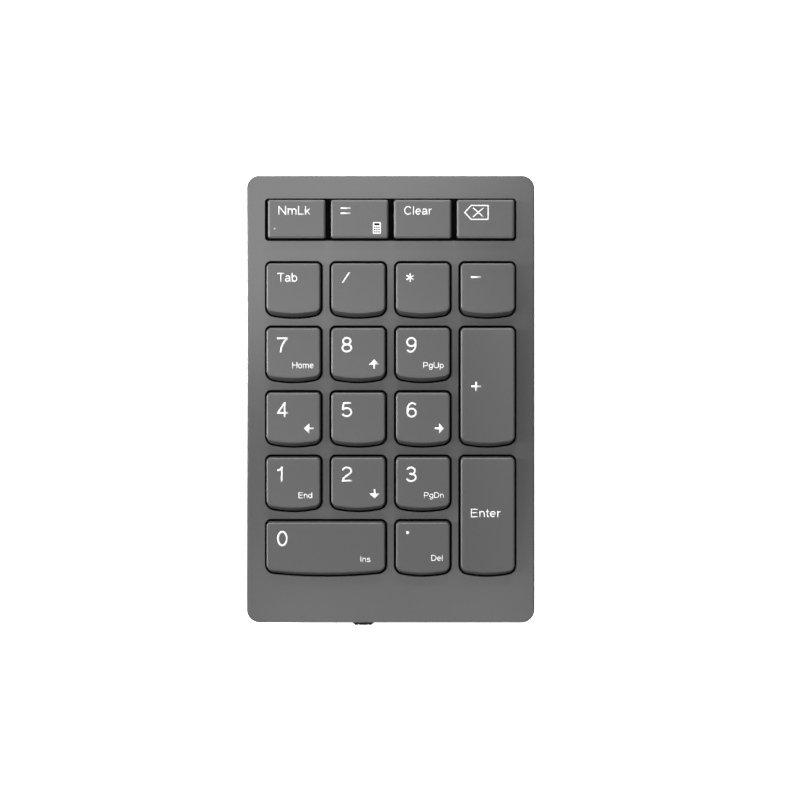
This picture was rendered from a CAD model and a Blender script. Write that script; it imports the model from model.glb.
import math

import bpy
from mathutils import Matrix, Vector
from mathutils.geometry import delaunay_2d_cdt


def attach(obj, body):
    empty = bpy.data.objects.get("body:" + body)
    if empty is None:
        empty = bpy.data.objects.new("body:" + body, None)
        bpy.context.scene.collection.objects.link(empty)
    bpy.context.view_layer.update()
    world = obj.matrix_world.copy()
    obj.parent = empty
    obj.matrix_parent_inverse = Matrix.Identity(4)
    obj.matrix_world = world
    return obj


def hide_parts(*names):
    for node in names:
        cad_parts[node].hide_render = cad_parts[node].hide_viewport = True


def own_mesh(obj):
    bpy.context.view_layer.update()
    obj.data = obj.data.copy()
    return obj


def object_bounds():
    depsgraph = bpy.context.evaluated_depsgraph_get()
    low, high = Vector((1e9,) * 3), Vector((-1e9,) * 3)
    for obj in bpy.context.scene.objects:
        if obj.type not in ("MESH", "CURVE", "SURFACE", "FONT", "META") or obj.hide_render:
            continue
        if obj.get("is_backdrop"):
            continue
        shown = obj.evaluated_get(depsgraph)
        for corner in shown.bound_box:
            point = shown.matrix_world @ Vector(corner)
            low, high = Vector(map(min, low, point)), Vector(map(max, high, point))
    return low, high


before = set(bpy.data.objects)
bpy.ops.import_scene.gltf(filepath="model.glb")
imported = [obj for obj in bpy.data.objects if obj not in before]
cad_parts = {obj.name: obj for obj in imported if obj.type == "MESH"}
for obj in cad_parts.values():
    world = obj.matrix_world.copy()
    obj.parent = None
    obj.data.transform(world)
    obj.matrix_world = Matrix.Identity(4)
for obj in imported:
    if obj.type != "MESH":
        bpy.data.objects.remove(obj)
cad_low, cad_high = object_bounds()

# Lengths are in millimetres and become metres when a mesh is made
MM = 0.001
MID_Y = 0.5
PITCH, ROW_BACK = 19.05, -5.88
FN_PITCH, FN_BACK, FN_SHIFT = 18.52, 52.98, 0.16
BODY_W, BODY_D, CORNER = 85.0, 132.1, 3.9
DECK, SEAM, FLOOR_GAP = 10.0, 6.4, 0.9
RIM, BASE_STEP = 0.36, 0.35
SCREW_BOSS_R, FOOT_R = 1.8, 4.0
WEB, FIELD = 8.4, 7.85
WINDOW, KEY_GAP = 17.05, 0.605
BOW, WIDE_BOW = 31.0, 148.0
WINDOW_FRONT_R, WINDOW_BACK_R = 2.85, 1.8
CAP_TOP, CAP_UNDER, SKIRT = 12.2, 11.3, 9.6
FN_W, FN_D, FN_CORNER = 16.87, 11.24, 0.6
MAT, PIVOT, CAP_PIN = 7.8, 8.3, 10.75
LIFT, TRAVEL = CAP_PIN - PIVOT, 1.6
OUTER_LEN, INNER_LEN, WIRE_LEN = 10.0, 7.4, 8.0
FRONT = MID_Y - BODY_D / 2
KNOB_X, KNOB_TRAVEL, NECK_W, NECK_H = -8.1, 2.0, 2.4, 1.0
LIGHT_X, EDGE_Z = -16.1, 7.4
DOT_X, DOT_Y = -6.5, -2.88
SCREWS = [(x * (BODY_W / 2 - CORNER), MID_Y + y * (BODY_D / 2 - CORNER)) for x in (-1, 1) for y in (-1, 1)]
STAKES = [(x, MID_Y + y) for x in (-30, 0, 30) for y in (-54.9, 43.78)]
POSTS = [(x, MID_Y + y) for x in (-31, 31) for y in (-48, 5, 52)]
FEET = [(x, MID_Y + y) for x in (-33, 33) for y in (-56.5, 56.5)]

# name, column, row, columns wide, rows tall
KEYS = [
    ("num_lock", 0, 0, 1, 1), ("equals", 1, 0, 1, 1), ("clear", 2, 0, 1, 1), ("backspace", 3, 0, 1, 1),
    ("tab", 0, 1, 1, 1), ("divide", 1, 1, 1, 1), ("multiply", 2, 1, 1, 1), ("minus", 3, 1, 1, 1),
    ("7", 0, 2, 1, 1), ("8", 1, 2, 1, 1), ("9", 2, 2, 1, 1), ("plus", 3, 2, 1, 2),
    ("4", 0, 3, 1, 1), ("5", 1, 3, 1, 1), ("6", 2, 3, 1, 1),
    ("1", 0, 4, 1, 1), ("2", 1, 4, 1, 1), ("3", 2, 4, 1, 1), ("enter", 3, 4, 1, 2),
    ("0", 0, 5, 2, 1), ("point", 2, 5, 1, 1),
]


def key_place(col, row, wide, tall):
    """Middle of a key in the row frame."""
    if row == 0:
        return FN_SHIFT + (col - 1.5) * FN_PITCH, MID_Y + FN_BACK
    return (col + wide / 2 - 2) * PITCH, MID_Y + ROW_BACK + (3.5 - row - tall / 2) * PITCH


# ---------------------------------------------------------------- mesh tools


def arc(cx, cy, rx, ry, start, end, steps):
    """Points on an ellipse, angles in degrees."""
    out = []
    for i in range(steps + 1):
        a = math.radians(start + (end - start) * i / steps)
        out.append((cx + rx * math.cos(a), cy + ry * math.sin(a)))
    return out


def between(a, b, steps):
    """Points strictly between two ends of a straight side."""
    return [
        (a[0] + (b[0] - a[0]) * i / steps, a[1] + (b[1] - a[1]) * i / steps)
        for i in range(1, steps)
    ]


def circle(cx, cy, r, steps=32):
    return arc(cx, cy, r, r, 0, 360, steps)[:-1]


def box_polygon(x0, y0, x1, y1):
    return [(x0, y0), (x1, y0), (x1, y1), (x0, y1)]


def spun(points, degrees, x=0.0, y=0.0):
    """Points turned about the origin and then moved."""
    c, n = math.cos(math.radians(degrees)), math.sin(math.radians(degrees))
    return [(x + u * c - v * n, y + u * n + v * c) for u, v in points]


def closed(parts, side_steps):
    """Joins arcs into one loop, with extra points along the straight sides."""
    out = []
    for i, part in enumerate(parts):
        out += part + between(part[-1], parts[(i + 1) % len(parts)][0], side_steps[i])
    return out


def rounded(w, d, r, cx=0.0, cy=0.0, corner=8, steps=(1, 1, 1, 1)):
    """A rounded rectangle, counter-clockwise from its front left corner."""
    x, y = w / 2 - r, d / 2 - r
    parts = [
        arc(cx - x, cy - y, r, r, 180, 270, corner),
        arc(cx + x, cy - y, r, r, 270, 360, corner),
        arc(cx + x, cy + y, r, r, 0, 90, corner),
        arc(cx - x, cy + y, r, r, 90, 180, corner),
    ]
    return closed(parts, steps)


def bowed(left, right, front, back, bow, front_r, back_r, front_steps=16, side_steps=8, back_steps=8):
    """Straight sides and back and a front edge that bows out, counter-clockwise from the front left."""
    corner = 10
    mid, half = (left + right) / 2, (right - left) / 2
    cx = half - front_r
    bow_y = front + bow
    cy = bow_y - math.sqrt((bow - front_r) ** 2 - cx**2)
    lean = math.degrees(math.atan2(cx, bow_y - cy))
    front_edge = (
        arc(mid - cx, cy, front_r, front_r, 180, 270 - lean, corner)
        + arc(mid, bow_y, bow, bow, 270 - lean, 270 + lean, front_steps)[1:-1]
        + arc(mid + cx, cy, front_r, front_r, 270 + lean, 360, corner)
    )
    parts = [
        front_edge,
        arc(right - back_r, back - back_r, back_r, back_r, 0, 90, corner),
        arc(left + back_r, back - back_r, back_r, back_r, 90, 180, corner),
    ]
    return closed(parts, (side_steps, back_steps, side_steps))


class Shape:
    """Collects a mesh: loops of points, walls between loops and flat fills."""

    def __init__(self):
        self.verts, self.faces, self.smooth, self.mats = [], [], [], []
        self.mat = 0

    def loop(self, points, z):
        """Adds a loop at a height, which is a number or a function of x and y."""
        first = len(self.verts)
        for x, y in points:
            self.verts.append((x, y, z(x, y) if callable(z) else z))
        return list(range(first, len(self.verts)))

    def face(self, ids, smooth=False):
        self.faces.append(tuple(ids))
        self.smooth.append(smooth)
        self.mats.append(self.mat)

    def wall(self, low, high, smooth=True):
        """Faces look outwards where the loops run counter-clockwise and high is above low."""
        for i in range(len(low)):
            j = (i + 1) % len(low)
            self.face((low[i], low[j], high[j], high[i]), smooth)

    def loft(self, loops, smooth=True):
        for low, high in zip(loops, loops[1:]):
            self.wall(low, high, smooth)

    def fill(self, outer, holes=(), up=True, inside=(), smooth=False):
        """Triangles between an outer loop and its holes, through the points inside."""
        ids = list(outer) + [i for h in holes for i in h] + list(inside)
        spot = {v: k for k, v in enumerate(ids)}
        rings = [[spot[i] for i in ring] for ring in (outer, *holes)]
        flat = [Vector(self.verts[i][:2]) for i in ids]
        _, _, tris, from_vert, _, from_face = delaunay_2d_cdt(flat, [], rings, 1, 1e-7)
        for tri, owners in zip(tris, from_face):
            if owners != [0]:
                continue
            corner = [ids[from_vert[k][0]] for k in tri]
            self.face(corner if up else corner[::-1], smooth)

    def move(self, matrix, first=0):
        for i in range(first, len(self.verts)):
            self.verts[i] = tuple(matrix @ Vector(self.verts[i]))

    def prism(self, points, low, high, holes=()):
        """A straight extrusion of an outline with holes."""
        bottom = [self.loop(p, low) for p in (points, *holes)]
        top = [self.loop(p, high) for p in (points, *holes)]
        self.wall(bottom[0], top[0], smooth=False)
        for b, t in zip(bottom[1:], top[1:]):
            self.wall(t, b, smooth=False)
        self.fill(bottom[0], bottom[1:], up=False)
        self.fill(top[0], top[1:])
        return self

    def stack(self, sections, smooth=True):
        """A closed solid through outlines, given as (points, height) from the lowest up."""
        rings = [self.loop(points, z) for points, z in sections]
        self.loft(rings, smooth)
        self.fill(rings[0], up=False)
        self.fill(rings[-1])
        return self

    def rings(self, x, y, profile, steps=32):
        """Round loops from (radius, height) pairs."""
        return [self.loop(circle(x, y, r, steps), z) for r, z in profile]

    def turned(self, x, y, profile, steps=32):
        """A round solid from (radius, height) pairs, from the lowest up."""
        return self.stack([(circle(x, y, r, steps), z) for r, z in profile])

    def along_y(self, sections):
        """A closed solid through outlines drawn in x and z, given as (points, y) in order."""
        rings = []
        for points, y in sections:
            first = len(self.verts)
            rings.append(self.loop(points, 0))
            self.move(Matrix(((1, 0, 0, 0), (0, 0, 0, y), (0, 1, 0, 0), (0, 0, 0, 1))), first)
        if sections[0][1] < sections[-1][1]:
            rings = [ring[::-1] for ring in rings]
        self.loft(rings)
        self.face(rings[0][::-1])
        self.face(rings[-1])
        return self

    def object(self, name, *materials):
        mesh = bpy.data.meshes.new(name)
        mesh.from_pydata([(x * MM, y * MM, z * MM) for x, y, z in self.verts], [], self.faces)
        mesh.polygons.foreach_set("use_smooth", self.smooth)
        mesh.polygons.foreach_set("material_index", self.mats)
        mesh.validate()
        for material in materials:
            mesh.materials.append(material)
        obj = bpy.data.objects.new(name, mesh)
        bpy.context.scene.collection.objects.link(obj)
        return obj


# Turns a solid drawn along Z, with its outline in (y, z), to run along X
ALONG_X = Matrix(((0, 0, 1, 0), (1, 0, 0, 0), (0, 1, 0, 0), (0, 0, 0, 1)))


def cross_prism(shape, outline, x0, x1, holes=()):
    """A prism along X whose outline is given as (y, z) points, counter-clockwise seen from +X."""
    first = len(shape.verts)
    shape.prism(outline, x0, x1, holes)
    shape.move(ALONG_X, first)


def bevelled(obj, width):
    """Rounds the sharp edges with a modifier."""
    mod = obj.modifiers.new("edges", "BEVEL")
    mod.width = width * MM
    mod.segments = 2
    mod.limit_method = "ANGLE"
    mod.angle_limit = math.radians(30)
    mod.harden_normals = True
    mod.use_clamp_overlap = True
    return obj


def cut(obj, shape, operation="DIFFERENCE"):
    """Takes a shape out of an object, or adds it with UNION."""
    cutter = shape.object("tool")
    mod = obj.modifiers.new("cut", "BOOLEAN")
    mod.operation = operation
    mod.solver = "EXACT"
    mod.object = cutter
    graph = bpy.context.evaluated_depsgraph_get()
    mesh = bpy.data.meshes.new_from_object(obj.evaluated_get(graph))
    obj.modifiers.remove(mod)
    mesh.name = obj.data.name
    # Creases keep a cut's mouth from shading the flat walls round it
    smooth = [face.use_smooth for face in mesh.polygons]
    mesh.set_sharp_from_angle(angle=math.radians(35))
    mesh.polygons.foreach_set("use_smooth", smooth)
    obj.data = mesh
    bpy.data.objects.remove(cutter)


# ---------------------------------------------------------------- materials


def set_inputs(node, values):
    """Sets inputs by name, where an underscore stands for a space."""
    for name, value in values.items():
        node.inputs[name.replace("_", " ")].default_value = value
    return node


def add_node(nodes, kind, **values):
    return set_inputs(nodes.new(f"ShaderNode{kind}"), values)


def new_material(name, **values):
    """A material with its nodes, links and shader."""
    material = bpy.data.materials.new(name)
    material.use_nodes = True
    nodes, links = material.node_tree.nodes, material.node_tree.links
    return material, nodes, links, set_inputs(nodes["Principled BSDF"], values)


def grain(nodes, links, shader, scale, detail, strength, distance):
    """A noise bump in the object's own coordinates."""
    place = add_node(nodes, "TexCoord")
    noise = add_node(nodes, "TexNoise", Scale=scale, Detail=detail)
    bump = add_node(nodes, "Bump", Strength=strength, Distance=distance)
    links.new(place.outputs["Object"], noise.inputs["Vector"])
    links.new(noise.outputs["Fac"], bump.inputs["Height"])
    links.new(bump.outputs["Normal"], shader.inputs["Normal"])


def plastic(name, color, rough, strength=0.25, scale=7000, specular=0.5):
    look = {"Base_Color": (*color, 1), "Roughness": rough, "Specular_IOR_Level": specular}
    material, nodes, links, shader = new_material(name, **look)
    grain(nodes, links, shader, scale, 3, strength, 0.02 * MM)
    return material


def steel(name, color, rough, stretch):
    """Metal with fine streaks along X."""
    material, nodes, links, shader = new_material(name, Base_Color=(*color, 1), Metallic=1)
    place = add_node(nodes, "TexCoord")
    scale = add_node(nodes, "Mapping", Scale=(1 / stretch, 1, 1))
    noise = add_node(nodes, "TexNoise", Scale=3000, Detail=4)
    ramp = add_node(nodes, "MapRange", To_Min=rough * 0.8, To_Max=rough * 1.25)
    links.new(place.outputs["Object"], scale.inputs["Vector"])
    links.new(scale.outputs["Vector"], noise.inputs["Vector"])
    links.new(noise.outputs["Fac"], ramp.inputs["Value"])
    links.new(ramp.outputs["Result"], shader.inputs["Roughness"])
    return material


COVER = plastic("cover_plastic", (0.04, 0.04, 0.0405), 0.3, 0.15, 6500)
CAP = plastic("cap_plastic", (0.044, 0.044, 0.0445), 0.46, 0.2, 6500)
WELL = plastic("cover_plastic_dark", (0.006, 0.006, 0.006), 0.7, 0.1, 3000, 0.1)
BASE = plastic("base_plastic", (0.045, 0.045, 0.046), 0.55, 0.6, 2600)
KNOB = plastic("knob_plastic", (0.004, 0.004, 0.004), 0.5, 0.1, 3000, 0.15)
SWITCH = plastic("switch_plastic", (0.02, 0.02, 0.021), 0.5)
MEMBRANE = plastic("membrane_film", (0.002, 0.002, 0.002), 0.8, 0.1, 3000, 0.05)
SCISSOR = plastic("scissor_plastic", (0.6, 0.6, 0.59), 0.4)
DOME = plastic("dome_rubber", (0.55, 0.53, 0.49), 0.6)
FOOT = plastic("foot_rubber", (0.014, 0.014, 0.015), 0.75, 0.5, 3000)
LENS = plastic("lens_plastic", (0.3, 0.3, 0.31), 0.5, 0.02)
DARK_INK = plastic("legend_ink_dark", (0.004, 0.004, 0.004), 0.8, 0.05, 7000, 0.1)
INK = plastic("legend_ink", (0.56, 0.56, 0.56), 0.6, 0.05)
PLATE = steel("plate_steel", (0.45, 0.46, 0.47), 0.35, 12)
WIRE = steel("wire_steel", (0.55, 0.56, 0.57), 0.28, 6)
PORT = steel("port_steel", (0.6, 0.6, 0.61), 0.25, 3)
SCREW = steel("screw_steel", (0.3, 0.3, 0.31), 0.35, 1)


def board_material():
    """Green solder mask over faint tracks."""
    material, nodes, links, shader = new_material("board_laminate", Roughness=0.32)
    mask, track = (0.008, 0.085, 0.035, 1), (0.016, 0.14, 0.06, 1)
    place = add_node(nodes, "TexCoord")
    tracks = add_node(nodes, "TexBrick", Scale=260, Color1=mask, Color2=mask, Mortar=track, Mortar_Size=0.03)
    links.new(place.outputs["Object"], tracks.inputs["Vector"])
    links.new(tracks.outputs["Color"], shader.inputs["Base Color"])
    return material


def pouch_material():
    """Crinkled foil."""
    look = {"Base_Color": (0.55, 0.57, 0.6, 1), "Metallic": 1, "Roughness": 0.38}
    material, nodes, links, shader = new_material("battery_pouch", **look)
    grain(nodes, links, shader, 350, 4, 0.4, 0.3 * MM)
    return material


BOARD, POUCH = board_material(), pouch_material()


def finish_piece(obj, body, slot, *nodes):
    """Rides on a body, takes a record slot and stands for CAD nodes."""
    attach(obj, body)
    if nodes:
        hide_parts(*nodes)
    return obj


# ---------------------------------------------------------------- covers


def key_window(wide, tall, x, y, grow=0.0):
    """Outline of a full-size key's window, grown by a margin."""
    w, d = WINDOW + (wide - 1) * PITCH, WINDOW + (tall - 1) * PITCH
    bow = (WIDE_BOW if wide == 2 else BOW) + grow
    return bowed(
        x - w / 2 - grow, x + w / 2 + grow, y - d / 2 - grow, y + d / 2 + grow, bow,
        WINDOW_FRONT_R + grow, WINDOW_BACK_R + grow, front_steps=28 if wide == 2 else 16,
    )


def windows(grow=0.0):
    """The function row's opening, then every other key's window."""
    side_gaps, end_gaps, corner = 1.77, 1.2, 1.0
    row_w, row_d = 3 * FN_PITCH + FN_W + side_gaps, FN_D + end_gaps
    out = [rounded(row_w + 2 * grow, row_d + 2 * grow, corner + grow, 0, MID_Y + FN_BACK)]
    for _, col, row, wide, tall in KEYS:
        if row:
            out.append(key_window(wide, tall, *key_place(col, row, wide, tall), grow))
    return out


def chamfer_edge(width, lower=0.1, upper=0.12, tilt=30):
    """Insets and depths of a tilted rim with soft ends, from the upright side up to the level top."""
    t = math.radians(tilt)
    foot = lower * (1 - math.sin(t))
    run = width - foot - upper * math.sin(t)
    deep = lower * math.cos(t) + upper * (1 - math.cos(t)) + run * math.tan(t)
    out = []
    for i in range(5):
        a = (math.pi / 2 - t) * i / 4
        out.append((lower * (1 - math.cos(a)), deep - lower * math.sin(a)))
    for i in range(4):
        a = t * (1 - i / 3)
        out.append((width - upper * math.sin(a), upper * (1 - math.cos(a))))
    return out


def body_outline(inset, corner=20):
    return rounded(BODY_W - 2 * inset, BODY_D - 2 * inset, CORNER - inset, 0, MID_Y, corner)


def cover_outside(s):
    """A small chamfer at the seam, the side and the tilted top edge. Returns the lowest and highest loops."""
    outside = [(0.12, SEAM), (0.02, SEAM + 0.08), (0, SEAM + 0.2)]
    outside += [(inset, DECK - depth) for inset, depth in chamfer_edge(RIM)]
    loops = [s.loop(body_outline(inset), z) for inset, z in outside]
    s.loft(loops)
    return loops[0], loops[-1]


def cover_windows(s):
    """A small round at the deck, then straight down in a darker finish. Returns the top and bottom loops."""
    lip, steps = 0.09, 4
    rims = []
    for i in range(steps + 1):
        a = math.radians(90 * i / steps)
        rims.append([s.loop(p, DECK - lip * (1 - math.cos(a))) for p in windows(lip * (1 - math.sin(a)))])
    ribs = [s.loop(p, FIELD) for p in windows()]
    for high, low in zip(rims, rims[1:]):
        for a, b in zip(high, low):
            s.wall(a, b)
    s.mat = 1
    for a, b in zip(rims[-1], ribs):
        s.wall(a, b)
    s.mat = 0
    return rims[0], ribs


def cover_underside(s, seam, ribs):
    """Ribs, web, walls, screw bosses and heat stakes, closing the cover from below."""
    wall, stake_end, bore_r, bore_end = 1.6, 6.7, 0.8, 9.2
    field = rounded(76.2, 116.6, 0.4, 0, MID_Y + 1.6, corner=3)
    low_field, high_field = s.loop(field, FIELD), s.loop(field, WEB)
    s.wall(low_field, high_field)
    stake = ((1, FIELD), (1, stake_end + 0.05), (0.9, stake_end))
    stakes = [s.rings(x, y, stake, 20) for x, y in STAKES]
    s.fill(low_field, ribs + [root for root, _, _ in stakes], up=False)
    for root, shank, end in stakes:
        s.wall(shank, root)
        s.wall(end, shank)
        s.fill(end, up=False)
    cavity = body_outline(wall, 12)
    low_cavity, high_cavity = s.loop(cavity, SEAM), s.loop(cavity, WEB)
    s.wall(high_cavity, low_cavity)
    bosses = []
    for x, y in SCREWS:
        high, low = s.rings(x, y, ((SCREW_BOSS_R, WEB), (SCREW_BOSS_R, SEAM)))
        bore_low, bore_high = s.rings(x, y, ((bore_r, SEAM), (bore_r, bore_end)), 20)
        s.wall(low, high)
        s.fill(low, [bore_low], up=False)
        s.wall(bore_high, bore_low)
        s.fill(bore_high, up=False)
        bosses.append(high)
    s.fill(high_cavity, [high_field] + bosses, up=False)
    s.fill(seam, [low_cavity], up=False)


def make_top_cover():
    s = Shape()
    seam, top = cover_outside(s)
    rims, ribs = cover_windows(s)
    s.fill(top, rims)
    cover_underside(s, seam, ribs)
    obj = s.object("deck_cover", COVER, WELL)
    # The slot for the knob's neck and the hole for the status light, with slightly flared mouths
    slot_w, slot_h, slot_r, slot_x = NECK_W + KNOB_TRAVEL + 0.2, NECK_H + 0.2, 0.2, KNOB_X + KNOB_TRAVEL / 2
    cut(obj, Shape().along_y([
        (rounded(slot_w + 2 * grow, slot_h + 2 * grow, slot_r + grow, slot_x, EDGE_Z, 4), FRONT + depth)
        for grow, depth in ((0.3, -0.5), (0.12, 0.0), (0, 0.12), (0, 2.5))
    ]))
    cut(obj, Shape().along_y([
        (circle(LIGHT_X, EDGE_Z, r), FRONT + depth)
        for r, depth in ((1.15, -0.5), (0.97, 0.0), (0.85, 0.12), (0.85, 2.5))
    ]))
    finish_piece(obj, "housing", "cover_plastic", "top_cover")


def flared(x, y, r, mouth_z, end_z, flare=0.15, steps=40):
    """A round cutter from below whose mouth is slightly wider."""
    return Shape().turned(x, y, (
        (r + 2 * flare, mouth_z - flare), (r + flare, mouth_z), (r + 0.3 * flare, mouth_z + 0.3 * flare),
        (r, mouth_z + flare), (r, end_z),
    ), steps)


def base_shell(s):
    """The base's outside, the rim, the locating lip and the hollow inside."""
    edge, lip, lip_w, lip_h, floor = 1.1, 1.7, 0.65, 0.8, 2.4
    outside = arc(BASE_STEP + edge, FLOOR_GAP + edge, edge, edge, 270, 180, 8)
    outside += [(BASE_STEP, SEAM - 0.1), (BASE_STEP + 0.1, SEAM)]
    loops = [s.loop(body_outline(inset), z) for inset, z in outside]
    s.loft(loops)
    s.fill(loops[0], up=False)
    lip_low, lip_high = s.loop(body_outline(lip, 12), SEAM), s.loop(body_outline(lip, 12), SEAM + lip_h)
    rim_in, hollow = [s.loop(body_outline(lip + lip_w, 12), z) for z in (SEAM + lip_h, floor)]
    s.fill(loops[-1], [lip_low])
    s.wall(lip_low, lip_high)
    s.fill(lip_high, [rim_in])
    s.wall(rim_in, hollow)
    s.fill(hollow)


def make_bottom_cover():
    well_end, inside, lip_end = 4.6, 1.5, SEAM + 2
    pillar_r, lip_gap_r, well_r, shank_r = 2.4, 2.75, 1.8, 0.95
    s = Shape()
    base_shell(s)
    obj = s.object("base_shell", BASE)
    # The lip is left out at the screws, the knob and the light
    for x, y in SCREWS:
        cut(obj, Shape().prism(circle(x, y, lip_gap_r), SEAM, lip_end))
    cut(obj, Shape().prism(box_polygon(-18.5, MID_Y - 66, -3, MID_Y - 62.4), SEAM, lip_end))
    for x, y in SCREWS:
        cut(obj, Shape().prism(circle(x, y, pillar_r, 40), inside, SEAM), "UNION")
    post = ((2.4, inside), (2.4, 5.0), (1.5, 5.0), (1.5, 6.9), (1.4, 7.0))
    for x, y in POSTS:
        cut(obj, Shape().turned(x, y, post), "UNION")
    for x, y in SCREWS:
        cut(obj, flared(x, y, well_r, FLOOR_GAP, well_end))
        cut(obj, flared(x, y, shank_r, well_end, 7.0, 0.02, 24))
    for x, y in FEET:
        cut(obj, flared(x, y, FOOT_R + 0.06, FLOOR_GAP, FLOOR_GAP + 0.3, 0.12, 64))
    # The mouth round the socket, whose ends are almost half circles
    back = MID_Y + BODY_D / 2 - BASE_STEP
    socket_w, socket_h, socket_z = 9.14, 3.36, 4.1
    cut(obj, Shape().along_y([
        (rounded(socket_w + 2 * grow, socket_h + 2 * grow, socket_h / 2 + grow - 0.001, 0, socket_z, 12),
         back + depth)
        for grow, depth in ((0.4, 0.3), (0.2, 0.0), (0.06, -0.06), (0, -0.2), (0, -4))
    ]))
    finish_piece(obj, "housing", "base_plastic", "bottom_cover")


def make_feet():
    s = Shape()
    edge = ((0.55, 0.0), (0.28, 0.05), (0.1, 0.18), (0, 0.4), (0, 1.2))
    for x, y in FEET:
        s.turned(x, y, [(FOOT_R - inset, z) for inset, z in edge], 56)
    finish_piece(s.object("feet", FOOT), "housing", "foot_rubber", "rubber_feet")


def make_screws():
    """Cross-head screws seen in their wells."""
    arm, half, narrowing = 0.8, 0.15, 0.75
    head_z, pit_z, shank_z = 3.6, 4.1, 4.6
    s = Shape()
    for x, y in SCREWS:
        cross = []
        for quarter in range(4):
            cross += spun(((arm, -half), (arm, half), (half, half)), 90 * quarter)
        rim = s.rings(x, y, ((1.3, head_z), (1.48, head_z + 0.06), (1.6, head_z + 0.25), (1.6, shank_z)), 40)
        shank = s.rings(x, y, ((0.78, shank_z), (0.78, 7.5), (0.5, 7.8)), 40)
        mouth = s.loop([(x + u, y + v) for u, v in cross], head_z)
        pit = s.loop([(x + u * narrowing, y + v * narrowing) for u, v in cross], pit_z)
        s.fill(rim[0], [mouth], up=False)
        s.wall(pit, mouth, smooth=False)
        s.fill(pit, up=False)
        s.loft(rim)
        s.fill(rim[-1], [shank[0]])
        s.loft(shank)
        s.fill(shank[-1])
    finish_piece(s.object("screws", SCREW), "housing", "screw_steel", "cover_screws")


# ---------------------------------------------------------------- keycaps


class Cap:
    """One keycap's outline at any inset, and the height of its top."""

    def __init__(self, col, row, wide, tall):
        self.x, self.y = key_place(col, row, wide, tall)
        self.small = row == 0
        self.wide, self.tall = wide, tall
        if self.small:
            self.w, self.d = FN_W, FN_D
        else:
            self.w = WINDOW + (wide - 1) * PITCH - 2 * KEY_GAP
            self.d = WINDOW + (tall - 1) * PITCH - 2 * KEY_GAP
        self.turned = self.small or tall == 2
        self.dish = 0.06 if self.small else 0.17
        # The raised legends take up the rest
        self.top = CAP_TOP - 0.02

    def outline(self, inset, front=None, share=0.0, rear=0.0):
        """share runs from 0 at the base's outline to 1 at the top face's."""
        x, y, w, d = self.x, self.y, self.w, self.d
        side = 20 if self.tall == 2 else 10
        back = 20 if self.wide == 2 else 10
        top_front_r = 1.35
        if self.small:
            corner_r = max(FN_CORNER - inset, 0.25)
            return rounded(w - 2 * inset, d - 2 * inset, corner_r, x, y, 6, (10, 6, 10, 6))
        front = inset if front is None else front
        bow = (WIDE_BOW if self.wide == 2 else BOW) - KEY_GAP
        bow += share * (4 if self.wide == 1 else 12) - inset * (1 - share)
        front_r = (WINDOW_FRONT_R - KEY_GAP) * (1 - share) + top_front_r * share - inset * (1 - share)
        return bowed(
            x - w / 2 + inset, x + w / 2 - inset, y - d / 2 + front, y + d / 2 - inset - rear, bow, front_r,
            WINDOW_BACK_R - KEY_GAP - inset, 32 if self.wide == 2 else 18, side, back,
        )

    def surface(self, x, y):
        """Height of the top: a shallow scoop from back to front, or from side to side on a tall key."""
        size, off = (self.w, x - self.x) if self.tall == 2 else (self.d, y - self.y)
        half = size / 2 - 0.5
        return self.top - self.dish * max(0.0, 1 - (off / half) ** 2)

    def skin(self, s):
        """The outside of the cap, from the skirt's rim to the top. Returns the rim's loop."""
        drop = lambda depth: lambda x, y: self.surface(x, y) - depth
        # How far the front and the back slope in, the sides' lean and how far the front's foot stands out
        front, rear, lean, toe = 1.0, 0.24, 0.05, 0.12
        # The width of the tilted rim, which is narrower at the front
        width, crease = RIM, 0.2
        if self.small:
            lean, toe, width = 0.02, 0.0, 0.5
        rim = chamfer_edge(width)
        edge = rim[0][1]
        low = SKIRT + 0.2
        rows = [(0.1, SKIRT), (0.02, SKIRT + 0.07), (0.0, low)]
        loops = [s.loop(self.outline(inset, inset - toe), z) for inset, z in rows]
        # Sides lean in a little, and the front leans in more, up to the rim
        for u in (0.05, 0.35, 0.65, 0.95, 1.0):
            z_mix = lambda x, y, u=u: low + (self.surface(x, y) - edge - low) * u
            slope = (front - crease + toe) * u - toe
            loops.append(s.loop(self.outline(lean * u, slope, 0.7 * u, rear * u), z_mix))
        for inward, depth in rim:
            share = 0.7 + 0.3 * inward / width
            slope = front - crease * (1 - inward / width)
            loops.append(s.loop(self.outline(lean + inward, slope, share, rear), drop(depth)))
        s.loft(loops)
        # The top, through a grid of points that keeps off its rim
        rim = [s.verts[i][:2] for i in loops[-1]]
        step, margin = 0.9, 0.35
        inside = []
        nx, ny = int(self.w / step), int(self.d / step)
        for i in range(1, nx):
            for j in range(1, ny):
                px = self.x - self.w / 2 + self.w * i / nx
                py = self.y - self.d / 2 + self.d * j / ny
                if within(rim, px, py, margin):
                    inside += s.loop([(px, py)], self.surface)
        s.fill(loops[-1], inside=inside, smooth=True)
        return loops[0]


def within(ring, x, y, margin):
    """True if a point is inside a loop and further than a margin from it."""
    hit = False
    for i in range(len(ring)):
        (x0, y0), (x1, y1) = ring[i - 1], ring[i]
        if (y0 > y) != (y1 > y) and x < x0 + (x1 - x0) * (y - y0) / (y1 - y0):
            hit = not hit
        dx, dy = x1 - x0, y1 - y0
        length = dx * dx + dy * dy
        t = 0.0 if length == 0 else max(0.0, min(1.0, ((x - x0) * dx + (y - y0) * dy) / length))
        if (x0 + t * dx - x) ** 2 + (y0 + t * dy - y) ** 2 < margin * margin:
            return False
    return hit


def arm_half(small):
    """Half the width of an outer scissor frame."""
    return 3.6 if small else 5.4


def run_of(length, lift=LIFT):
    """How far an arm reaches along the plate when its end is lifted."""
    return math.sqrt(length**2 - lift**2)


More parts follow.
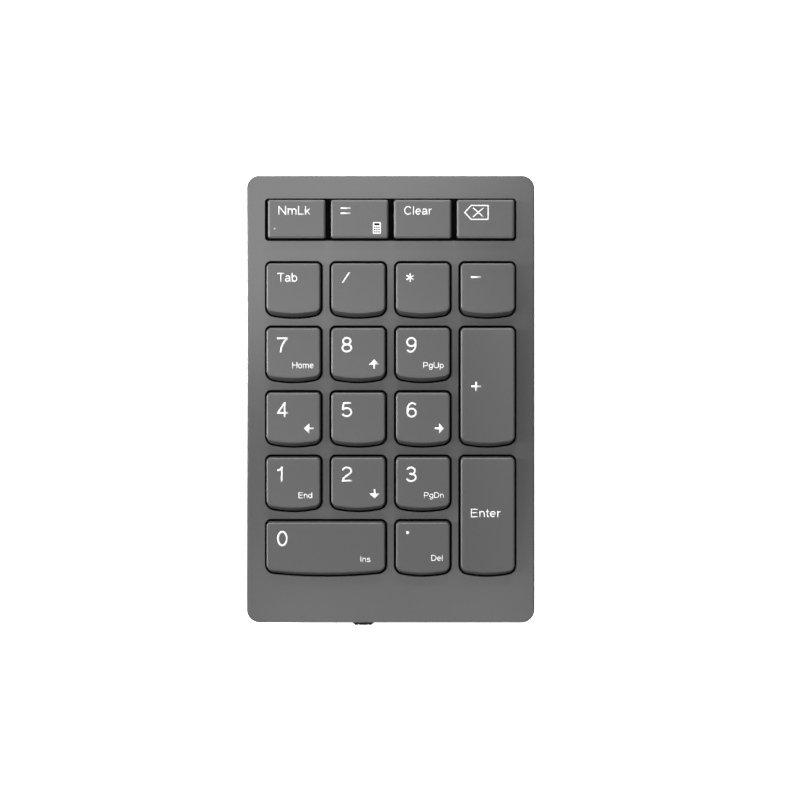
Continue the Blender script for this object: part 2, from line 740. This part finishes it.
def far_slide(length):
    """How far an arm's end slides as the key goes all the way down."""
    return run_of(length, LIFT - TRAVEL) - run_of(length)


def turn_about(cap):
    """From a key's own axes to the row frame, with a quarter turn for tall and function keys."""
    spin = Matrix.Rotation(math.radians(90), 4, "Z") if cap.turned else Matrix.Identity(4)
    return Matrix.Translation((cap.x, cap.y, 0)) @ spin


def scissor_hook(s, small):
    """A hook each side, open towards the back, where the outer frame's far pins slide."""
    drop, play, thick, end_room = 0.68, 0.38, 0.65, 0.3
    near, roof = arm_half(small) + 0.1, CAP_UNDER + 0.05
    pin_y = run_of(OUTER_LEN) / 2
    end = pin_y + far_slide(OUTER_LEN) + end_room
    low, high, back = CAP_PIN - play, CAP_PIN + play, pin_y - play
    hook = [(pin_y - drop, CAP_PIN - drop), (end, CAP_PIN - drop), (end, low), (back, low), (back, high),
            (end, high), (end, roof), (pin_y - drop, roof)]
    for side in (-1, 1):
        x0, x1 = sorted((side * near, side * (near + thick)))
        cross_prism(s, hook, x0, x1)


def bar_clip(s):
    """A snap-in clip for the inner frame's bar."""
    mouth, bore, half, drop, half_w = 0.27, 0.4, 0.7, 0.65, 0.9
    roof = CAP_UNDER + 0.05
    bar_y = -run_of(INNER_LEN) / 2
    lean = math.degrees(math.asin(mouth / bore))
    snap = [(bar_y - half, CAP_PIN - drop), (bar_y - mouth, CAP_PIN - drop)]
    snap += arc(bar_y, CAP_PIN, bore, bore, 270 - lean, -90 + lean, 20)
    snap += [(bar_y + mouth, CAP_PIN - drop), (bar_y + half, CAP_PIN - drop)]
    snap += [(bar_y + half, roof), (bar_y - half, roof)]
    cross_prism(s, snap, -half_w, half_w)


def wire_lugs(s):
    """Slotted lugs for a long key's stabiliser wire."""
    wire_y, lug_x, half_w, drop, play = 5.9, 9, 0.8, 0.7, 0.43
    roof = CAP_UNDER + 0.05
    y0, y1 = wire_y - 0.7, WINDOW / 2 - KEY_GAP - 0.5
    slot_end = wire_y + far_slide(WIRE_LEN) + play
    outer = box_polygon(y0, CAP_PIN - drop, y1, roof)
    slot = box_polygon(wire_y - play, CAP_PIN - play, slot_end, CAP_PIN + play)
    for side in (-lug_x, lug_x):
        cross_prism(s, outer, side - half_w, side + half_w, [slot])


def add_lugs(s, cap):
    first = len(s.verts)
    scissor_hook(s, cap.small)
    bar_clip(s)
    if cap.wide + cap.tall > 2:
        wire_lugs(s)
    s.move(turn_about(cap), first)


def make_cap(name, cap):
    s = Shape()
    wall = 1.0
    rim = cap.skin(s)
    inner_low = s.loop(cap.outline(wall), SKIRT)
    inner_high = s.loop(cap.outline(wall), CAP_UNDER)
    s.fill(rim, [inner_low], up=False)
    s.wall(inner_high, inner_low)
    s.fill(inner_high, up=False)
    add_lugs(s, cap)
    obj = s.object(f"cap_{name}", CAP)
    if name == "num_lock":
        profile = ((0.32, DECK), (0.32, cap.top - 0.08), (0.36, cap.top - 0.04), (0.5, cap.top + 0.2))
        cut(obj, Shape().turned(cap.x + DOT_X, cap.y + DOT_Y, profile, 24))
    finish_piece(obj, f"key_{name}", "cap_plastic", f"key_{name}")


# ---------------------------------------------------------------- legends


def curve(cx, cy, rx, ry, start=0, end=360):
    """An elliptical part of a stroke, or a whole ellipse."""
    return arc(cx, cy, rx, ry, start, end, max(3, int(abs(end - start) / 12)))


def stem(x, top=1.0):
    """An upright stroke from the baseline."""
    return [(x, 0.0), (x, top)]


# Each glyph is its advance and its strokes, for capitals 1 high and strokes 0.12 thick. Lines run through the
# middles of the strokes, so a stroke on the baseline lies at LOW and a small letter's stem ends at X_TOP.
LOW, X_TOP = 0.06, 0.73
# How far the ink stands out of the cap and reaches into it
INK_PROUD, INK_SUNK = 0.014, 0.03
GLYPHS = {
    "0": (0.76, [curve(0.38, 0.5, 0.27, 0.44)]),
    "1": (0.76, [[(0.17, 0.745), (0.26, 0.765), (0.36, 0.82), (0.42, 0.94)], stem(0.42)]),
    "2": (0.76, [curve(0.37, 0.7, 0.26, 0.24, 168, -28)
                 + [(0.47, 0.47), (0.3, 0.34), (0.16, 0.2), (0.12, 0.06)],
                 [(0.06, LOW), (0.66, LOW)]]),
    "3": (0.76, [curve(0.36, 0.72, 0.23, 0.22, 160, -90), [(0.27, 0.53), (0.38, 0.53)],
                 curve(0.37, 0.295, 0.27, 0.235, 90, -160)]),
    "4": (0.76, [[(0.7, 0.27), (0.08, 0.27), (0.49, 0.93)], stem(0.5)]),
    "5": (0.76, [[(0.62, 0.94), (0.2, 0.94), (0.13, 0.5)],
                 [(0.13, 0.5)] + curve(0.37, 0.33, 0.27, 0.27, 130, -155)]),
    "6": (0.76, [curve(0.39, 0.32, 0.26, 0.26),
                 curve(0.42, 0.6, 0.29, 0.34, 40, 90) + curve(0.42, 0.46, 0.29, 0.48, 96, 186)]),
    "7": (0.76, [[(0.08, 0.94), (0.66, 0.94)],
                 [(0.62, 0.92), (0.5, 0.76), (0.38, 0.52), (0.31, 0.28), (0.28, 0.0)]]),
    "8": (0.76, [curve(0.38, 0.73, 0.22, 0.21), curve(0.38, 0.29, 0.26, 0.23)]),
    "9": (0.76, [curve(0.37, 0.68, 0.26, 0.26),
                 curve(0.34, 0.4, 0.29, 0.34, 220, 270) + curve(0.34, 0.54, 0.29, 0.48, 276, 366)]),
    "N": (1.0, [stem(0.14), [(0.14, 0.96), (0.86, 0.04)], stem(0.86)]),
    "L": (0.75, [[(0.14, 1.0), (0.14, LOW), (0.72, LOW)]]),
    "C": (1.0, [curve(0.52, 0.5, 0.4, 0.45, 38, 322)]),
    "T": (0.84, [[(0.02, 0.94), (0.82, 0.94)], [(0.42, 0.94), (0.42, 0.0)]]),
    "H": (1.0, [stem(0.14), stem(0.86), [(0.14, 0.53), (0.86, 0.53)]]),
    "P": (0.9, [stem(0.14),
                [(0.14, 0.94), (0.56, 0.94)] + curve(0.56, 0.68, 0.24, 0.26, 84, -84)
                + [(0.56, 0.42), (0.14, 0.42)]]),
    "U": (1.0, [[(0.14, 1.0), (0.14, 0.36)] + curve(0.5, 0.36, 0.36, 0.32, 188, 352)
                + [(0.86, 0.36), (0.86, 1.0)]]),
    "E": (0.92, [stem(0.14), [(0.14, 0.94), (0.84, 0.94)], [(0.14, 0.53), (0.8, 0.53)],
                 [(0.14, LOW), (0.86, LOW)]]),
    "D": (1.0, [stem(0.14),
                [(0.14, 0.94), (0.44, 0.94)] + curve(0.44, 0.5, 0.43, 0.44, 84, -84)
                + [(0.44, LOW), (0.14, LOW)]]),
    "I": (0.38, [stem(0.19)]),
    "a": (0.76, [curve(0.38, 0.48, 0.23, 0.2, 165, 0) + [(0.61, 0.2), (0.63, 0.08), (0.7, 0.05)],
                 [(0.61, 0.42), (0.4, 0.38)] + curve(0.29, 0.2, 0.18, 0.15, 95, 300)
                 + [(0.5, 0.12), (0.61, 0.24)]]),
    "b": (0.78, [stem(0.13), curve(0.4, 0.365, 0.26, 0.31)]),
    "d": (0.78, [stem(0.65), curve(0.38, 0.365, 0.26, 0.31)]),
    "p": (0.78, [[(0.13, -0.28), (0.13, X_TOP)], curve(0.4, 0.365, 0.26, 0.31)]),
    "g": (0.78, [curve(0.38, 0.375, 0.26, 0.3),
                 [(0.64, X_TOP), (0.64, 0.0)] + curve(0.38, 0.0, 0.26, 0.23, -8, -160)]),
    "e": (0.76, [[(0.13, 0.37), (0.63, 0.37)] + curve(0.38, 0.37, 0.26, 0.31, 12, 318)]),
    "o": (0.76, [curve(0.38, 0.365, 0.27, 0.31)]),
    "n": (0.76, [stem(0.14, X_TOP), curve(0.38, 0.42, 0.24, 0.25, 172, 5) + [(0.62, 0.4), (0.62, 0.0)]]),
    "m": (1.14, [stem(0.14, X_TOP), curve(0.355, 0.45, 0.215, 0.22, 172, 5) + [(0.57, 0.43), (0.57, 0.0)],
                 curve(0.785, 0.45, 0.215, 0.22, 172, 5) + [(1.0, 0.43), (1.0, 0.0)]]),
    "r": (0.46, [stem(0.14, X_TOP), [(0.14, 0.42), (0.2, 0.57), (0.31, 0.65), (0.44, 0.67)]]),
    "l": (0.31, [stem(0.155)]),
    "k": (0.7, [stem(0.14), [(0.14, 0.26), (0.6, 0.71)], [(0.31, 0.42), (0.63, 0.02)]]),
    "s": (0.7, [curve(0.35, 0.53, 0.22, 0.145, 20, 180)[:-1]
                + [(0.13, 0.49), (0.24, 0.4), (0.47, 0.34), (0.59, 0.25)]
                + curve(0.36, 0.2, 0.24, 0.145, 0, -165)]),
    "t": (0.4, [[(0.18, 0.93), (0.18, 0.16), (0.24, 0.07), (0.38, 0.06)], [(0.02, 0.67), (0.38, 0.67)]]),
}


def ribbon(points, width):
    """Quads along a stroke, mitred at its bends, with square ends."""
    n = len(points)
    loop = n > 3 and math.dist(points[0], points[-1]) < 1e-6
    if loop:
        points = points[:-1]
        n -= 1
    left, right = [], []
    for i, (x, y) in enumerate(points):
        before = points[i - 1] if loop or i else None
        after = points[(i + 1) % n] if loop or i < n - 1 else None
        normals = []
        for a, b in ((before, (x, y)), ((x, y), after)):
            if a and b:
                length = math.dist(a, b)
                normals.append(((a[1] - b[1]) / length, (b[0] - a[0]) / length))
        nx, ny = sum(v[0] for v in normals) / len(normals), sum(v[1] for v in normals) / len(normals)
        size = max(nx * nx + ny * ny, 0.3)
        nx, ny = nx / size, ny / size
        left.append((x + nx * width / 2, y + ny * width / 2))
        right.append((x - nx * width / 2, y - ny * width / 2))
    last = n if loop else n - 1
    return [[right[i], right[(i + 1) % n], left[(i + 1) % n], left[i]] for i in range(last)]


def split(points, longest):
    """The same line with no piece longer than a limit."""
    out = [points[0]]
    for a, b in zip(points, points[1:]):
        out += between(a, b, max(1, math.ceil(math.dist(a, b) / longest))) + [b]
    return out


def text_strokes(text):
    """Strokes of a word in glyph units."""
    at, out = 0.0, []
    for letter in text:
        advance, strokes = GLYPHS[letter]
        out += [[(x + at, y) for x, y in stroke] for stroke in strokes]
        at += advance
    return out


def fitted(strokes, weight, left, right, bottom, top):
    """Strokes scaled to fill a box from the baseline to the capitals' height, and their thickness."""
    thick = weight * (top - bottom)
    xs = [x for stroke in strokes for x, _ in stroke]
    x0, x1 = min(xs), max(xs)
    sx = (right - left - thick) / max(x1 - x0, 1e-6)
    sy = top - bottom
    at = left + thick / 2
    return [[(at + (x - x0) * sx, bottom + y * sy) for x, y in stroke] for stroke in strokes], thick


def covered(polygons, spot):
    """True if any of the polygons holds the point."""
    return any(within(p, spot.x, spot.y, 0) for p in polygons)


def polygons_to_mesh(s, polygons, cap):
    """A thin raised sheet over a cap's top, from overlapping flat polygons."""
    flat, rings = [], []
    for polygon in polygons:
        area = sum(a[0] * b[1] - b[0] * a[1] for a, b in zip(polygon, polygon[1:] + polygon[:1]))
        ring = []
        for p in polygon if area > 0 else polygon[::-1]:
            ring.append(len(flat))
            flat.append(Vector(p))
        rings.append(ring)
    points, _, tris, _, _, _ = delaunay_2d_cdt(flat, [], rings, 1, 1e-5)
    tris = [tri for tri in tris if covered(polygons, sum((points[k] for k in tri), Vector((0, 0))) / 3)]
    spots = [(p.x, p.y) for p in points]
    top = s.loop(spots, lambda x, y: cap.surface(x, y) + INK_PROUD)
    bottom = s.loop(spots, lambda x, y: cap.surface(x, y) - INK_SUNK)
    sides = set()
    for tri in tris:
        s.face([top[k] for k in tri], True)
        s.face([bottom[k] for k in reversed(tri)])
        for a, b in zip(tri, [*tri[1:], tri[0]]):
            sides.add((a, b))
    for a, b in sorted(sides):
        if (b, a) not in sides:
            s.face((bottom[a], bottom[b], top[b], top[a]))


def strokes_to_polygons(strokes, thick):
    return [quad for stroke in strokes for quad in ribbon(split(stroke, 0.9), thick)]


# Words and digits: the key, the text, then left, right, baseline and capital height from the key's middle
WORDS = [
    ("num_lock", "NmLk", -5.34, 4.1, 1.18, 3.76), ("clear", "Clear", -5.42, 2.86, 1.2, 3.7),
    ("tab", "Tab", -4.85, 1.16, 2.26, 4.86), ("enter", "Enter", -4.95, 3.93, -0.3, 2.18),
    ("7", "7", -5.08, -1.38, 0.54, 4.93), ("8", "8", -4.88, -1.73, 0.5, 5.08),
    ("9", "9", -4.92, -1.84, 0.43, 5.03), ("4", "4", -4.8, -1.32, 0.6, 4.98),
    ("5", "5", -4.84, -1.73, 0.56, 4.97), ("6", "6", -4.8, -1.75, 0.43, 4.96),
    ("1", "1", -5.0, -3.13, 0.67, 5.08), ("2", "2", -5.06, -1.61, 0.65, 5.07),
    ("3", "3", -5.0, -1.8, 0.53, 5.07), ("0", "0", -14.3, -11.17, 0.65, 5.23),
    ("7", "Home", -0.33, 5.94, -4.15, -2.32), ("9", "PgUp", 0.1, 6.12, -4.07, -2.35),
    ("1", "End", 1.5, 5.54, -4.24, -2.5), ("3", "PgDn", 0.32, 6.12, -4.14, -2.49),
    ("0", "Ins", 10.2, 13.17, -3.96, -2.27), ("point", "Del", 2.45, 5.8, -3.6, -1.87),
]
# Arrows: the key, the middle, width and depth of the box, and the way it points
ARROWS = [
    ("8", 4.72, -2.9, 3.16, 2.8, 90), ("2", 4.85, -2.96, 3.14, 2.76, -90),
    ("4", 4.55, -2.76, 2.86, 3.16, 180), ("6", 4.87, -2.74, 2.76, 3.06, 0),
]


def arrow_polygons(cx, cy, w, d, way):
    """A solid head on a short shaft, pointing along an angle."""
    along, across = (w, d) if way in (0, 180) else (d, w)
    tip, half, shaft = along / 2, across / 2, 0.52
    head = 0.56 * along
    solid_head = [(tip - head, -half), (tip, 0), (tip - head, half), (tip - head * 0.97, 0.0)]
    bar = box_polygon(-tip, -shaft / 2, tip - head / 2, shaft / 2)
    return [spun(p, way, cx, cy) for p in (solid_head, bar)]


def star_polygons(x, y):
    """Six rays that widen a little."""
    inner, reach, half, widening = -0.1, 1.27, 0.18, 0.04
    ray = [(inner, -half), (reach, -half - widening), (reach, half + widening), (inner, half)]
    return [spun(ray, 30 + 60 * k, x, y) for k in range(6)]


def backspace_strokes():
    """A pointed frame with a cross in it."""
    frame_line = [(-6.08, 1.87), (-4.25, 3.91), (0.77, 3.91), (0.77, -0.17), (-4.25, -0.17), (-6.08, 1.87)]
    cross = [[(-3.68, 3.22), (-0.62, 0.56)], [(-3.68, 0.56), (-0.62, 3.22)]]
    return [frame_line] + cross


# Symbols drawn from the middle of their key
SYMBOLS = {
    "equals": [box_polygon(-5.6, 2.9, -2.66, 3.32), box_polygon(-5.6, 1.42, -2.66, 1.84)],
    "minus": [box_polygon(-4.94, 3.36, -2.02, 3.88)],
    "plus": [box_polygon(-4.88, -0.2, -1.99, 0.34), box_polygon(-3.71, -1.29, -3.17, 1.45)],
    "point": [box_polygon(-4.87, 4.28, -4.05, 5.06)],
    "divide": [[(-4.82, 1.98), (-4.29, 1.98), (-2.29, 5.05), (-2.82, 5.05)]],
    "multiply": star_polygons(-3.73, 3.5),
    "backspace": strokes_to_polygons(backspace_strokes(), 0.36),
}


def calculator(s, cap):
    """A white card with dark openings for the display and nine buttons."""
    left, right, front, back, corner = 3.89, 6.24, -4.4, -0.95, 0.3
    w, d, x, y = right - left, back - front, cap.x + (left + right) / 2, cap.y + (front + back) / 2
    margin, display_d, display_in = 0.38, 0.64, 0.66
    across, along, first_row, half_w, half_d = 0.62, 0.68, 0.56, 0.2, 0.22
    holes = [rounded(w - 2 * margin, display_d, 0.2, x, cap.y + back - display_in, 4)]
    for i in range(3):
        for j in range(3):
            hx, hy = x + across * (i - 1), cap.y + front + first_row + along * j
            holes.append(box_polygon(hx - half_w, hy - half_d, hx + half_w, hy + half_d))
    low = lambda x, y: cap.surface(x, y) - INK_SUNK
    high = lambda x, y: cap.surface(x, y) + INK_PROUD
    s.prism(rounded(w, d, corner, x, y, 5), low, high, holes)
    # A dark sheet shows through the openings
    s.mat = 1
    s.fill(s.loop(rounded(w - 0.3, d - 0.3, 0.2, x, y, 4), lambda x, y: cap.surface(x, y) + 0.004))
    s.mat = 0


def stroke_weight(text, height):
    """Stroke thickness for a capital height of 1."""
    if len(text) == 1:
        return 0.12
    return 0.126 if height > 2.2 else 0.13


def legend_polygons(name):
    """Each legend of a key in turn, as polygons drawn from the middle of the key."""
    for key, text, left, right, base, high in WORDS:
        if key == name:
            weight = stroke_weight(text, high - base)
            yield strokes_to_polygons(*fitted(text_strokes(text), weight, left, right, base, high))
    for key, *box in ARROWS:
        if key == name:
            yield arrow_polygons(*box)
    if name in SYMBOLS:
        yield SYMBOLS[name]


def make_legends(name, cap):
    s = Shape()
    for polygons in legend_polygons(name):
        polygons_to_mesh(s, [[(x + cap.x, y + cap.y) for x, y in p] for p in polygons], cap)
    if name == "equals":
        calculator(s, cap)
    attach(s.object(f"legend_{name}", INK, DARK_INK), f"key_{name}")


# ---------------------------------------------------------------- under the keys


def rod(s, x0, x1, r):
    """A rod along X through the origin, with small rounds at its ends."""
    first = len(s.verts)
    edge = min(0.08, r / 3)
    s.turned(0, 0, ((r - edge, x0), (r, x0 + edge), (r, x1 - edge), (r - edge, x1)), 16)
    s.move(ALONG_X, first)


def beam(s, x, w, d, t):
    """A bar lying flat across the X axis, its edges chamfered."""
    edge = 0.06
    s.stack([
        (rounded(w - 2 * inset, d - 2 * inset, 0.1, x, 0, 2), z)
        for inset, z in ((edge, -t / 2), (0, edge - t / 2), (0, t / 2 - edge), (edge, t / 2))
    ], smooth=False)


def make_inner_frame(name, cap):
    """Turns on the outer frame's middle and lies down as the key is pressed."""
    arm_w, arm_t, bar_r = 0.7, 0.6, 0.35
    # A squash can't follow the outer frame's middle sideways, so these pins are thinner than the CAD's
    pin_r, pin_root, pin_reach = 0.16, 0.3, 0.75
    s = Shape()
    half = arm_half(cap.small) - 0.85
    for side in (-1, 1):
        beam(s, side * (half - arm_w / 2), arm_w, INNER_LEN, arm_t)
        first = len(s.verts)
        rod(s, -half, half, bar_r)
        s.move(Matrix.Translation((0, side * INNER_LEN / 2, 0)), first)
        x0, x1 = sorted((side * (half - pin_root), side * (half + pin_reach)))
        rod(s, x0, x1, pin_r)
    lean = Matrix.Rotation(-math.asin(LIFT / INNER_LEN), 4, "X")
    s.move(turn_about(cap) @ Matrix.Translation((0, 0, PIVOT + LIFT / 2)) @ lean)
    obj = s.object(f"inner_frame_{name}", SCISSOR)
    finish_piece(obj, "housing", "scissor_plastic", "inner_scissors")
    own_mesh(obj)


def make_dome(name, cap):
    """A thin cone between a flat ring on the membrane and a tip under the cap, open underneath."""
    base, height = (1.8 if cap.small else 2.2), CAP_UNDER - MAT - 0.05
    tip, mouth = base - 0.9, base - 0.75
    outside = [
        (mouth, 0), (base, 0), (base, 0.22), (base - 0.08, 0.3), (base - 0.4, 0.32), (base - 0.47, 0.45),
        (tip + 0.02, height - 0.95), (tip, height - 0.75), (tip, height - 0.12), (tip - 0.1, height),
    ]
    s = Shape()
    rings, hollow = [
        s.rings(cap.x, cap.y, [(r, MAT + z) for r, z in profile], 28)
        for profile in (outside, ((mouth, 0), (tip - 0.4, height - 1.1)))
    ]
    s.loft(rings)
    s.fill(rings[-1])
    s.wall(hollow[1], hollow[0])
    s.fill(hollow[1], up=False)
    s.wall(hollow[0], rings[0])
    obj = finish_piece(s.object(f"dome_{name}", DOME), "housing", "dome_rubber", "rubber_domes")
    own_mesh(obj)


# ---------------------------------------------------------------- front edge


def make_knob():
    """A bevelled knob with two shallow grip notches, on a neck that reaches the switch."""
    behind, face, half_h = FRONT - 0.08, FRONT - 0.92, 1.1
    half_w, flat, slope = 3.15, 2.4, 0.65
    neck_end = MID_Y - 62.3
    plan = [(-half_w, behind), (-half_w, face + slope), (-flat, face)]
    for x in (-1.57, 1.27):
        plan += [(x, face), (x, face + 0.15), (x + 0.3, face + 0.15), (x + 0.3, face)]
    plan += [(flat, face), (half_w, face + slope), (half_w, behind)]
    s = Shape()
    s.prism([(KNOB_X + x, y) for x, y in plan], EDGE_Z - half_h, EDGE_Z + half_h)
    neck = box_polygon(KNOB_X - NECK_W / 2, behind - 0.05, KNOB_X + NECK_W / 2, neck_end)
    s.prism(neck, EDGE_Z - NECK_H / 2, EDGE_Z + NECK_H / 2)
    finish_piece(bevelled(s.object("knob", KNOB), 0.07), "power_knob", "knob_plastic", "power_knob")


def make_status_light():
    """A light pipe with a domed end in the front wall, standing on the circuit board."""
    s = Shape()
    s.along_y([
        (circle(LIGHT_X, EDGE_Z, r), FRONT + depth)
        for r, depth in ((0.2, -0.4), (0.45, -0.34), (0.65, -0.2), (0.77, 0.0), (0.8, 0.15), (0.8, 3.2))
    ])
    s.prism(rounded(1.4, 1.0, 0.1, LIGHT_X, MID_Y - 62.8, 2), 5.8, EDGE_Z)
    finish_piece(s.object("status_light", LENS), "housing", "lens_plastic", "status_lens")


def make_indicator(cap):
    """The small window in the first function cap, just below its surface."""
    x, y = cap.x + DOT_X, cap.y + DOT_Y
    top = cap.surface(x, y)
    profile = ((0.3, CAP_UNDER - 0.4), (0.3, top - 0.1), (0.25, top - 0.06), (0.15, top - 0.045))
    s = Shape().turned(x, y, profile, 24)
    finish_piece(s.object("indicator", LENS), "key_num_lock", "lens_plastic", "num_lock_lens")


# ---------------------------------------------------------------- the pieces

make_top_cover()
make_bottom_cover()
make_feet()
make_screws()
make_knob()
make_status_light()
for key_name, *place in KEYS:
    key_cap = Cap(*place)
    make_cap(key_name, key_cap)
    make_legends(key_name, key_cap)
    make_inner_frame(key_name, key_cap)
    make_dome(key_name, key_cap)
    if key_name == "num_lock":
        make_indicator(key_cap)

# The rest keep their CAD meshes: the start of a node's name, its finish and the width of its rounded edges
KEPT = [
    ("scissor_", SCISSOR, 0.08), ("stabiliser_", WIRE, 0), ("key_plate", PLATE, 0.05),
    ("membrane", MEMBRANE, 0), ("circuit_board", BOARD, 0.05), ("battery", POUCH, 0.35),
    ("usb_c_port", PORT, 0.06), ("power_switch", SWITCH, 0.12),
]
for node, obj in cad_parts.items():
    if obj.hide_render:
        continue
    look, width = next((look, width) for start, look, width in KEPT if node.startswith(start))
    obj.data.materials.clear()
    obj.data.materials.append(look)
    if width:
        bevelled(obj, width)

# ---------------------------------------------------------------- floor, camera and light


def make_floor():
    size, corner_r = 9000, 200
    s = Shape()
    s.fill(s.loop(rounded(size, size, corner_r, corner=16), 0))
    # A little light of its own, as on a light table, keeps it plain white beside the case
    look = {"Base_Color": (0.92, 0.92, 0.92, 1), "Roughness": 0.9, "Specular_IOR_Level": 0.1}
    look |= {"Emission_Color": (1, 1, 1, 1), "Emission_Strength": 0.75}
    s.object("floor", new_material("floor", **look)[0])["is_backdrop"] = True


def make_camera():
    """Straight above the case, which stands a little left of the picture's middle."""
    height = 440
    data = bpy.data.cameras.new("camera")
    camera = bpy.data.objects.new("camera", data)
    bpy.context.scene.collection.objects.link(camera)
    bpy.context.scene.camera = camera
    camera.location = (0, MID_Y * MM, height * MM)
    data.sensor_width = 36
    data.lens = 65.5
    data.shift_x = 0.01175
    data.shift_y = -0.0012
    data.clip_start, data.clip_end = 0.01, 10
    data.dof.use_dof = False


def area_light(name, power, place, width, height):
    """A panel of light that faces the origin."""
    light = bpy.data.lights.new(name, "AREA")
    light.shape = "RECTANGLE"
    light.size, light.size_y = width * MM, height * MM
    light.energy = power
    obj = bpy.data.objects.new(name, light)
    bpy.context.scene.collection.objects.link(obj)
    obj.location = Vector(place) * MM
    obj.rotation_mode = "QUATERNION"
    obj.rotation_quaternion = (-Vector(place)).to_track_quat("-Z", "Y")
    obj.visible_camera = False


def studio_world():
    """Pale at the horizon, like the studio's walls, and dark overhead."""
    world = bpy.data.worlds.new("studio")
    bpy.context.scene.world = world
    world.use_nodes = True
    nodes, links = world.node_tree.nodes, world.node_tree.links
    place = add_node(nodes, "TexCoord")
    parts = add_node(nodes, "SeparateXYZ")
    fade = add_node(nodes, "MapRange", From_Min=0.02, From_Max=0.22, To_Min=0.35, To_Max=0.01)
    links.new(place.outputs["Generated"], parts.inputs["Vector"])
    links.new(parts.outputs["Z"], fade.inputs["Value"])
    links.new(fade.outputs["Result"], nodes["Background"].inputs["Strength"])
    nodes["Background"].inputs["Color"].default_value = (1, 1, 1, 1)


make_floor()
make_camera()
# Broad and small lights overhead shade the level faces
area_light("back_panel", 0.385, (-43, 84, 250), 236, 106)
area_light("key_light", 4.4, (-390, 593, 947), 300, 200)
area_light("right_fill", 0.185, (75, -149, 547), 60, 60)
area_light("front_fill", 0.49, (-86, -208, 899), 60, 60)
# Low lights pick out the tilted rims and the caps' sloped fronts
area_light("left_strip", 10.4, (-750, 60, 330), 80, 500)
area_light("front_panel", 2.0, (0, -560, 480), 500, 240)
area_light("front_low", 1.0, (0, -700, 330), 500, 120)
area_light("back_strip", 6.4, (0, 750, 400), 500, 80)
studio_world()
bpy.context.scene.view_settings.view_transform = "Standard"

low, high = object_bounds()
{"cad": [list(cad_low), list(cad_high)], "looks": [list(low), list(high)]}
